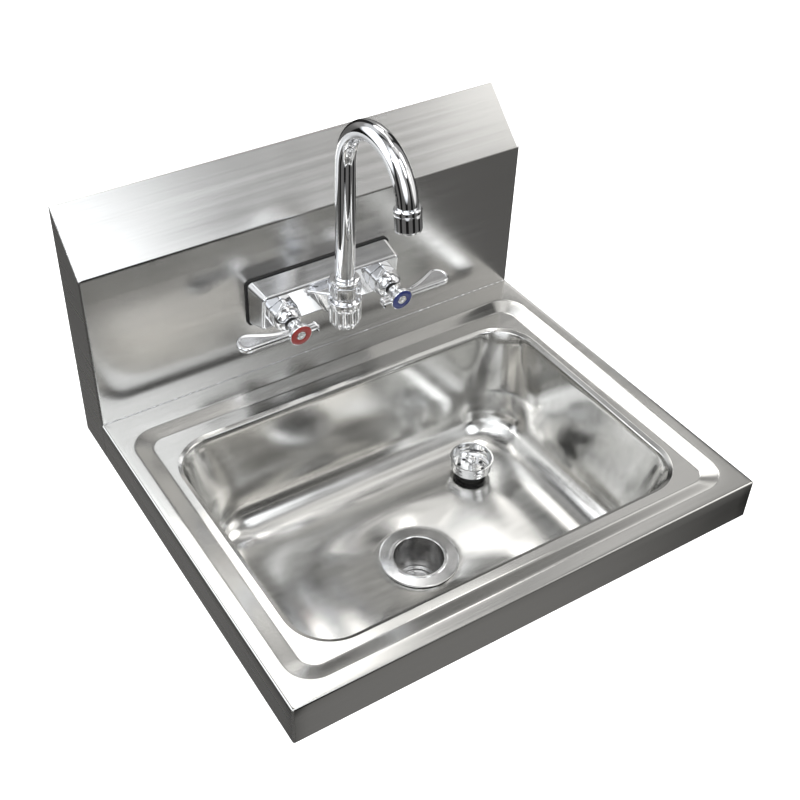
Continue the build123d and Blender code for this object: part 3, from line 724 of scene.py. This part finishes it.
def neck_outline(half, low, top_radius, foot_radius):
    """Section of the neck, wide at the top and 18 mm wide at its foot, in metres."""
    corners = [(0, neck_high, 0), (half, neck_high, top_radius), (9, low, foot_radius)]
    corners += [(-9, low, foot_radius), (-half, neck_high, top_radius), (0, neck_high, 0)]
    return [(p.x * MM, p.y * MM) for p in rounded_path(corners, 4)[:-1]]


def build_faucet_body():
    parts = []
    # the long plate, tapering to a tilted front face with a soft edge
    back = Vector((0, gasket_front, faucet_centre))
    front = Vector((0, valve_face, faucet_centre))
    edge = 2.2 * MM
    back_points = outline_on(back, upward, oblong(plate_length, plate_height, plate_corner))
    front_outline = oblong(front_length, front_height, front_corner, front_lift)
    front_points = outline_on(front, valve_up, front_outline)
    rings = []
    for share in (0.0, 0.04, 0.3, 0.6, 0.85):
        rings.append([a.lerp(b, share) for a, b in zip(back_points, front_points)])
    for k in range(1, 9):
        angle = pi / 2 * k / 8
        inset = edge * (1 - cos(angle))
        share = 1 - (edge * (1 - sin(angle))) / (gasket_front - valve_face)
        length, height = front_length - 2 * inset, front_height - 2 * inset
        outline = oblong(length, height, max(front_corner - inset, 1 * MM), front_lift)
        flat = outline_on(front, valve_up, outline)
        outline = oblong(plate_length - 2 * inset, plate_height - 2 * inset, front_corner)
        base = outline_on(back, upward, outline)
        rings.append([a.lerp(b, share) for a, b in zip(base, flat)])
    for shrink in (0.5, 2.5, 9.0):
        length = front_length - 2 * edge - shrink * MM
        height = front_height - 2 * edge - shrink * MM
        rings.append(outline_on(front, valve_up, oblong(length, height, 1 * MM, front_lift)))
    parts.append(bridge(rings, start_cap=True, end_cap=True))
    # the neck, wide at the plate and narrow at the socket
    root = valve_seat.copy()
    root.x = 0
    root -= valve_axis * 1.0 * MM
    tip = Vector((0, spout_y + 6 * MM, faucet_centre))
    root_outline = neck_outline(neck_root_half, neck_low, 1.5, 2)
    tip_outline = neck_outline(neck_tip_half, -neck_high, 2.5, 3)
    root_ring = outline_on(root, valve_up, root_outline)
    tip_ring = outline_on(tip, upward, tip_outline)
    shares = (0, 0.05, 0.3, 0.6, 0.95, 1.0)
    rings = [[a.lerp(b, share) for a, b in zip(root_ring, tip_ring)] for share in shares]
    parts.append(bridge(rings, start_cap=True, end_cap=True))
    # the socket, with a fluted cup below a plain band
    quarter = np.linspace(0, pi / 2, 22)
    cup = [Vector((cup_radius * sin(a) ** 0.85, cup_round * (1 - cos(a)))) for a in quarter]
    profile = cup + rounded_path(
        [
            (cup_radius, 12.6, 0),
            (cup_radius, 27.4, 0.3),
            (14.9, 27.8, 0.4),
            (14.9, 31.4, 0.8),
            (14.0, 32.0, 0.3),
            (9.6, 32.0, 0),
        ],
        8,
    )
    dense = []
    for a, b in zip(profile, profile[1:]):
        steps = max(1, ceil((b - a).length / 1.0))
        dense += [a.lerp(b, k / steps) for k in range(steps)]
    dense.append(profile[-1])

    def flute(radius, height, angle):
        fade = smooth_step(radius / (9 * MM)) * smooth_step((26 * MM - height) / (3 * MM))
        depth = min(flute_depth, 0.12 * radius)
        return radius - depth * fade * abs(cos(angle * flute_count / 2)) ** 0.8

    foot = Vector((0, spout_y, body_low.z))
    parts.append(lathe([(p.x * MM, p.y * MM) for p in dense], foot, segments=192, flute=flute))
    # the spigot under the nut
    spigot = [(spigot_inner, 20 * MM), (spigot_inner, 38 * MM)]
    spigot += [(spigot_outer, 38 * MM), (spigot_outer, 31 * MM)]
    parts.append(lathe(spigot, foot))
    body = make_piece("faucet_casting", *joined(*parts), [chrome], "sink", "chrome", ["faucet_body"])
    weighted_normals(body)
    return body


def hex_prism(across_flats, corner, levels, origin, axis, per_side=10):
    """A nut: its outline follows the flats, cut back to a radius at each level."""
    outline = polygon_ring(6, across_flats, corner, per_side, pi / 6)
    side = Vector((1, 0, 0))
    other = axis.cross(side)
    rings = []
    for height, limit in levels:
        ring = []
        for x, y in outline:
            reach = sqrt(x * x + y * y)
            cut = min(1.0, limit / reach)
            ring.append(origin + side * x * cut + other * y * cut + axis * height)
        rings.append(ring)
    return bridge(rings, start_cap=True, end_cap=True)


def build_valve(side, name):
    """Bonnet, seal, lever, index ring and screw of one valve, along the valve's tilted axis."""
    seat = Vector((side * abs(valve_seat.x), valve_seat.y, valve_seat.z))
    axis = valve_axis
    levels = [(0.05, 13.2), (0.9, 13.9), (7.9, 13.9), (8.6, 13.3), (9.0, 12.2)]
    bonnet_hex = hex_prism(24 * MM, 0.15 * MM, [(h * MM, r * MM) for h, r in levels], seat, axis)
    dome = [(0, 8.4), (12.0, 8.4), (12.55, 9.0), (12.6, 10.0)]
    dome += [(6.2 + 6.4 * cos(a), 10.6 + 8.4 * sin(a)) for a in np.linspace(0.05, pi / 2, 12)]
    dome += [(3.1, 19.0)]
    bonnet_dome = lathe([(r * MM, h * MM) for r, h in dome], seat, axis, 72)
    bonnet = make_piece(
        f"{name}_bonnet_shell",
        *joined(bonnet_hex, bonnet_dome),
        [chrome],
        "sink",
        "chrome",
        [f"{name}_bonnet"],
    )
    weighted_normals(bonnet)
    seal = [(3.0, 19.05), (5.4, 19.05), (5.95, 19.5), (5.95, 21.0), (5.4, 21.4), (3.0, 21.4)]
    make_piece(
        f"{name}_seal_ring",
        *lathe([(r * MM, h * MM) for r, h in seal], seat, axis, 64),
        [rubber],
        "sink",
        "black_rubber",
        [f"{name}_stem_seal"],
    )

    # hub: a flared skirt with a rolled front rim
    hub = rounded_path(
        [
            (3.0, 21.5, 0),
            (6.8, 21.5, 0.7),
            (7.0, 24.5, 3.0),
            (10.0, 31.5, 4.0),
            (10.4, 35.6, 0.7),
            (9.8, 35.6, 0.25),
            (9.8, 34.4, 0),
            (3.0, 34.4, 0),
        ],
        6,
    )
    hub_surface = lathe([(p.x * MM, p.y * MM) for p in hub], seat, axis, 96)
    # blade: a flat bar that widens outward to a round end, with a short tail on the other side
    rear = [(-17.0, 26.6), (-6.0, 26.6), (0.0, 25.4), (8.0, 25.1), (14.0, 24.6), (20.0, 23.2)]
    rear += [(26.0, 21.2), (32.0, 18.6), (38.0, 15.8), (42.0, 14.2), (46.0, 13.9)]
    round_end = [(50.0, 15.4), (53.2, 18.6), (54.8, 22.6), (54.6, 27.0), (52.4, 31.0), (48.6, 33.2)]
    front = [(44.0, 33.6), (30.0, 33.6), (10.0, 33.6), (-16.5, 33.6)]
    tail = [(-18.4, 32.8), (-19.0, 31.4), (-19.0, 28.6), (-18.4, 27.2)]
    outline = smooth_loop([Vector(p) for p in rear + round_end + front + tail], 5)
    count = len(outline)
    normals = []
    for i in range(count):
        ahead = (outline[(i + 1) % count] - outline[i - 1]).normalized()
        normals.append(Vector((-ahead.y, ahead.x)))
    half, roll = 2.8, 2.0
    rings = []
    arc = [(roll * (1 - cos(a)), roll * sin(a)) for a in np.linspace(0, pi / 2, 8)]
    sections = [(inset, -(half - roll) - rise) for inset, rise in reversed(arc)]
    sections += [(inset, (half - roll) + rise) for inset, rise in arc]
    # inner rings let the top and the underside sink a little
    sections = [(4.6, -half + 0.45), (3.0, -half + 0.2)] + sections + [(3.0, half - 0.2), (4.6, half - 0.45)]
    sideways = Vector((side, 0, 0))
    up = valve_up
    for inset, height in sections:
        ring = []
        for point, normal in zip(outline, normals):
            room = min(inset, 3.1 if point.x < 14 else inset)
            spot = point + normal * room
            ring.append(seat + sideways * spot.x * MM + axis * spot.y * MM + up * height * MM)
        rings.append(ring)
    blade = bridge(rings, start_cap=True, end_cap=True)
    handle = make_piece(
        f"{name}_handle",
        *joined(hub_surface, blade),
        [chrome],
        f"{name}_handle",
        "chrome",
        [f"{name}_lever"],
    )
    weighted_normals(handle)
    ring = [(4.4, 34.45), (4.4, 35.7), (4.7, 35.85), (9.3, 35.85), (9.65, 35.6), (9.65, 34.45)]
    colour_slot = "red_plastic" if name == "hot" else "blue_plastic"
    make_piece(
        f"{name}_index",
        *lathe([(r * MM, h * MM) for r, h in reversed(ring)], seat, axis, 96),
        [finish_of_slot[colour_slot]],
        f"{name}_handle",
        colour_slot,
        [f"{name}_index_ring"],
    )
    head = [(4.2, 34.45), (4.2, 35.9), (3.9, 36.25), (3.0, 36.4)]
    head += [(1.6, 36.4), (1.35, 36.2), (1.3, 35.3), (0, 35.2)]
    make_piece(
        f"{name}_screw",
        *lathe([(r * MM, h * MM) for r, h in head], seat, axis, 48),
        [bright_steel],
        f"{name}_handle",
        "polished_steel",
        [f"{name}_handle_screw"],
    )


def smooth_loop(points, steps):
    """Closed curve through points."""
    count = len(points)
    made = []
    for i in range(count):
        a, b, c, d = (points[(i + k) % count] for k in (-1, 0, 1, 2))
        for k in range(steps):
            t = k / steps
            square = (2 * a - 5 * b + 4 * c - d) * t * t
            cube = (3 * b - a - 3 * c + d) * t ** 3
            made.append(0.5 * (2 * b + (c - a) * t + square + cube))
    return made


# ---------------------------------------------------------------- spout

tube_radius = tube_high.x
arch_radius = 44.5 * MM
arch_angle = radians(172)
arch_centre = tube_high.z - tube_radius - arch_radius


def build_spout():
    stations = []
    for height in np.linspace(nut_low.z, arch_centre, 24)[:-1]:
        stations.append((Vector((0, spout_y, height)), 0.0))
    for angle in np.linspace(0, arch_angle, 72):
        centre = Vector((0, spout_y - arch_radius * (1 - cos(angle)), arch_centre + arch_radius * sin(angle)))
        stations.append((centre, angle))
    flow = Vector((0, -sin(arch_angle), cos(arch_angle)))
    outlet = stations[-1][0] + flow * 4 * MM
    stations.append((outlet, arch_angle))
    rings = []
    for centre, angle in stations:
        inward = Vector((0, cos(angle), sin(angle)))
        ring = []
        for i in range(72):
            turn = 2 * pi * i / 72
            ring.append(centre + rightward * tube_radius * cos(turn) + inward * tube_radius * sin(turn))
        rings.append(ring)
    tube = bridge(rings, start_cap=True, end_cap=True)
    make_piece("gooseneck", *tube, [chrome], "spout", "chrome", ["spout_tube"])
    collar = [(8.5, -3.5, 0), (10.3, -3.5, 0.5), (11.1, -2.0, 1.4)]
    collar += [(10.75, 0.6, 1.4), (11.1, 1.5, 0.4), (7.8, 1.5, 0)]
    collar = rounded_path(collar, 6)
    make_piece(
        "outlet_ring",
        *lathe([(p.x * MM, p.y * MM) for p in collar], outlet, flow, 96),
        [chrome],
        "spout",
        "chrome",
        ["outlet_collar"],
    )
    shell = [(9, 1.5, 0), (10.5, 1.5, 0.3), (10.7, 3.2, 2), (10.7, 13.6, 2)]
    shell += [(9.9, 16.0, 0.9), (9.0, 16.0, 0), (9.0, 1.6, 0)]
    shell = rounded_path(shell, 6)
    make_piece(
        "aerator_shell",
        *lathe([(p.x * MM, p.y * MM) for p in shell], outlet, flow, 96),
        [chrome],
        "spout",
        "chrome",
        ["aerator_housing"],
    )
    # the nut: hexagon below, round shoulder above
    base = Vector((0, spout_y, nut_low.z))
    nut_rise = nut_high.z - nut_low.z
    levels = [(0.05, 13.3), (0.9, 14.2), (10.6, 14.2), (11.6, 13.2)]
    hexagon = hex_prism(25 * MM, 0.15 * MM, [(h * MM, r * MM) for h, r in levels], base, upward)
    top = nut_rise / MM
    shoulder = rounded_path(
        [
            (8.6, 8.0, 0),
            (12.0, 8.0, 0),
            (12.0, 11.7, 0.2),
            (13.4, 12.4, 0.5),
            (13.4, top - 0.6, 0.6),
            (12.4, top, 0.6),
            (9.4, top, 0.3),
            (8.6, top - 0.5, 0),
        ],
        5,
    )
    ring = lathe([(p.x * MM, p.y * MM) for p in shoulder], base, upward, 96)
    nut = make_piece("spout_collar_nut", *joined(hexagon, ring), [chrome], "spout", "chrome", ["spout_nut"])
    weighted_normals(nut)


build_faucet_body()
build_valve(-1, "hot")
build_valve(1, "cold")
build_spout()

# ---------------------------------------------------------------- drain and strainer basket


drain_bore, drain_thread, flange_radius = 22.4, 23.9, 36.0
drain_ledge_drop = 152.0


def build_drain():
    """Flange with a bright bead, a plain throat whose inside is painted darker as shade, and stepped rings below
    it.
    """
    base = Vector((drain_centre.x, drain_centre.y, 0))
    top = flange_high.z / MM
    foot = flange_low.z / MM
    ledge_level = deck_top / MM - drain_ledge_drop
    outer = rounded_path(
        [
            (drain_bore, ledge_level, 0),
            (drain_bore, top - 0.8, 1.6),
            (23.4, top, 0.9),
            (25.0, top, 0.8),
            (26.2, top - 0.75, 0.8),
            (35.0, top - 1.15, 1.5),
            (flange_radius, top - 1.5, 0.4),
            (flange_radius, top - 2.0, 0),
            (drain_thread, top - 2.0, 0),
        ],
        6,
    )
    flange = lathe([(p.x * MM, p.y * MM) for p in outer], base, segments=160)
    steps = rounded_path(
        [
            (drain_thread, top - 2.0, 0),
            (drain_thread, foot, 0.4),
            (21.3, foot, 0.4),
            (21.3, ledge_level - 7.0, 0),
            (13.6, ledge_level - 7.0, 0.4),
            (13.6, ledge_level - 5.0, 0.5),
            (16.2, ledge_level - 5.0, 0.5),
            (16.2, ledge_level - 2.5, 0.5),
            (19.2, ledge_level - 2.5, 0.5),
            (19.2, ledge_level, 0.5),
            (drain_bore, ledge_level, 0),
        ],
        4,
    )
    throat = lathe([(p.x * MM, p.y * MM) for p in steps], base, segments=160)

    def which(centre, normal):
        # faces inside the bore take the darker steel, which is painted shade in the recess
        reach = (Vector((centre.x, centre.y, 0)) - base).length
        inside = reach < (drain_bore + 0.4) * MM
        return 1 if inside and centre.z > (ledge_level - 0.2) * MM else 0

    make_piece(
        "drain_casting",
        *joined(flange, throat),
        [bright_steel, throat_steel_painted_shade],
        "sink",
        "polished_steel",
        ["drain_body"],
        which,
    )


build_drain()

# ---------------------------------------------------------------- stage, camera and light

camera_place = Vector((-434.0, -808.9, 531.7)) * MM
camera_target = Vector((-12.85, -101.16, -150.0)) * MM
camera_data = bpy.data.cameras.new("camera")
camera_data.sensor_width = 36.0
camera_data.lens = 53.57
camera_data.shift_x = 0.0789
camera_data.shift_y = -0.0207
camera_data.clip_end = 50.0
camera = bpy.data.objects.new("camera", camera_data)
bpy.context.scene.collection.objects.link(camera)
camera.location = camera_place
camera.rotation_euler = (camera_target - camera_place).to_track_quat("-Z", "Y").to_euler()
bpy.context.scene.camera = camera

floor_drop = 0.86
floor_size = 14.0


def build_floor():
    mesh = bpy.data.meshes.new("floor")
    height = deck_top - floor_drop
    corners = [(-1, -1), (1, -1), (1, 1), (-1, 1)]
    mesh.from_pydata([(x * floor_size, y * floor_size, height) for x, y in corners], [], [(0, 1, 2, 3)])
    floor = bpy.data.objects.new("floor", mesh)
    bpy.context.scene.collection.objects.link(floor)
    graph = Graph("floor_paint")
    paint = graph.noise(graph.place, scale=2.0, detail=2)
    graph.colours(paint, (0.90, 0.90, 0.90), (0.93, 0.93, 0.93))
    graph.shader.inputs["Roughness"].default_value = 0.9
    graph.shader.inputs["Emission Color"].default_value = (1, 1, 1, 1)
    graph.shader.inputs["Emission Strength"].default_value = 0.75
    mesh.materials.append(graph.material)
    floor.visible_glossy = False
    floor.visible_diffuse = False


def direction(azimuth, elevation):
    """Unit vector; azimuth runs from the wall (+Y) toward +X, in degrees."""
    a, e = radians(azimuth), radians(elevation)
    return Vector((sin(a) * cos(e), cos(a) * cos(e), sin(e)))


# soft lamps around the sink: azimuth, elevation, half angle, softness, brightness
lamps = [
    (18, 47, 8.5, 3.5, 1.8),
    (21, 56, 7, 3, 1.5),
    (-15, 40, 12, 10, 0.4),
    (44, 66, 8, 6, 0.8),
    (112, 42, 9, 4, 2.4),
    (166, 55, 8, 3, 2.4),
    (167, 43, 8, 3, 2.4),
    (114, 60, 8, 6, 0.7),
    (134, 28, 8, 6, 0.9),
    (120, 8, 18, 10, 0.9),
    (-56, 20, 22, 12, 2.0),
    (218, 16, 14, 12, 1.3),
    (240, 50, 18, 12, 1.3),
    (43, 26, 6, 5, 0.9),
    (57, 44, 6, 4, 0.5),
    (100, 80, 8, 10, 0.5),
    (37, 45, 2.2, 1.2, 4.0),
]
cool, warm = (0.94, 0.97, 1.0), (1.0, 0.99, 0.965)
# rows of small lamps: azimuth of the first, elevation, count; then half angle, softness, brightness
small_lamps = [(200, 62, 5), (60, 76, 3), (250, 34, 3)]
small_spacing, small_lamp = 14, (2.2, 0.7, 6.0)
flag_count, flag_light, flag_dark = 7, 1.45, 0.12


def build_world():
    world = bpy.data.worlds.new("studio")
    bpy.context.scene.world = world
    world.use_nodes = True
    tree = world.node_tree
    background = tree.nodes["Background"]
    place = tree.nodes.new("ShaderNodeTexCoord").outputs["Generated"]
    split = tree.nodes.new("ShaderNodeSeparateXYZ")
    tree.links.new(place, split.inputs["Vector"])
    sky = tree.nodes.new("ShaderNodeValToRGB")
    ramp = tree.nodes.new("ShaderNodeMapRange")
    ramp.inputs["From Min"].default_value = -1
    tree.links.new(split.outputs["Z"], ramp.inputs["Value"])
    tree.links.new(ramp.outputs["Result"], sky.inputs["Fac"])
    stops = [(0.0, 0.17), (0.12, 0.17), (0.22, 0.11), (0.40, 0.08), (0.48, 0.11), (0.56, 0.20), (1.0, 0.24)]
    elements = sky.color_ramp.elements
    elements[0].position, elements[0].color = stops[0][0], (stops[0][1],) * 3 + (1,)
    elements[1].position, elements[1].color = stops[-1][0], (stops[-1][1],) * 3 + (1,)
    for position, level in stops[1:-1]:
        element = elements.new(position)
        element.color = (level, level * 0.985, level * 0.96, 1)

    def math(operation, *values):
        """One arithmetic node; each value is a socket or a number."""
        made = tree.nodes.new("ShaderNodeMath")
        made.operation = operation
        for socket, value in zip(made.inputs, values):
            if isinstance(value, (int, float)):
                socket.default_value = value
            else:
                tree.links.new(value, socket)
        return made.outputs["Value"]

    # narrow dark flags stand all round and draw dark lines in the chrome, and softer ones in the steel
    around = math("ARCTAN2", split.outputs["X"], split.outputs["Y"])
    wave = math("SINE", math("MULTIPLY", around, flag_count))
    flags = tree.nodes.new("ShaderNodeMapRange")
    flags.interpolation_type = "SMOOTHSTEP"
    flags.inputs["From Min"].default_value = 0.1
    flags.inputs["From Max"].default_value = 0.5
    flags.inputs["To Min"].default_value = flag_light
    flags.inputs["To Max"].default_value = flag_dark
    tree.links.new(wave, flags.inputs["Value"])
    flagged = tree.nodes.new("ShaderNodeVectorMath")
    flagged.operation = "SCALE"
    tree.links.new(sky.outputs["Color"], flagged.inputs[0])
    tree.links.new(flags.outputs["Result"], flagged.inputs["Scale"])
    total = flagged.outputs["Vector"]

    def add_lamp(aim, half_angle, softness, level, colour):
        nonlocal total
        dot = tree.nodes.new("ShaderNodeVectorMath")
        dot.operation = "DOT_PRODUCT"
        dot.inputs[1].default_value = aim
        tree.links.new(place, dot.inputs[0])
        edge = tree.nodes.new("ShaderNodeMapRange")
        edge.interpolation_type = "SMOOTHSTEP"
        edge.inputs["From Min"].default_value = cos(radians(half_angle + softness))
        edge.inputs["From Max"].default_value = cos(radians(half_angle))
        tree.links.new(dot.outputs["Value"], edge.inputs["Value"])
        add = tree.nodes.new("ShaderNodeMix")
        add.data_type = "RGBA"
        add.blend_type = "ADD"
        add.clamp_result = False
        tree.links.new(edge.outputs["Result"], add.inputs["Factor"])
        tree.links.new(total, add.inputs["A"])
        add.inputs["B"].default_value = (*(c * level for c in colour), 1)
        total = add.outputs["Result"]

    for azimuth, elevation, half_angle, softness, level in lamps:
        colour = cool if azimuth < 0 or azimuth > 150 else warm
        add_lamp(direction(azimuth, elevation), half_angle, softness, level, colour)
    for azimuth, elevation, count in small_lamps:
        for k in range(count):
            add_lamp(direction(azimuth + small_spacing * k, elevation), *small_lamp, warm)
    tree.links.new(total, background.inputs["Color"])
    background.inputs["Strength"].default_value = 1.0
    # seen directly, the surroundings are a plain pale backdrop
    backdrop = tree.nodes.new("ShaderNodeBackground")
    backdrop.inputs["Color"].default_value = (1, 1, 1, 1)
    choose = tree.nodes.new("ShaderNodeMixShader")
    tree.links.new(tree.nodes.new("ShaderNodeLightPath").outputs["Is Camera Ray"], choose.inputs["Fac"])
    tree.links.new(background.outputs["Background"], choose.inputs[1])
    tree.links.new(backdrop.outputs["Background"], choose.inputs[2])
    tree.links.new(choose.outputs["Shader"], tree.nodes["World Output"].inputs["Surface"])


build_floor()
build_world()
bpy.context.scene.view_settings.view_transform = "Standard"
bpy.context.scene.view_settings.look = "None"
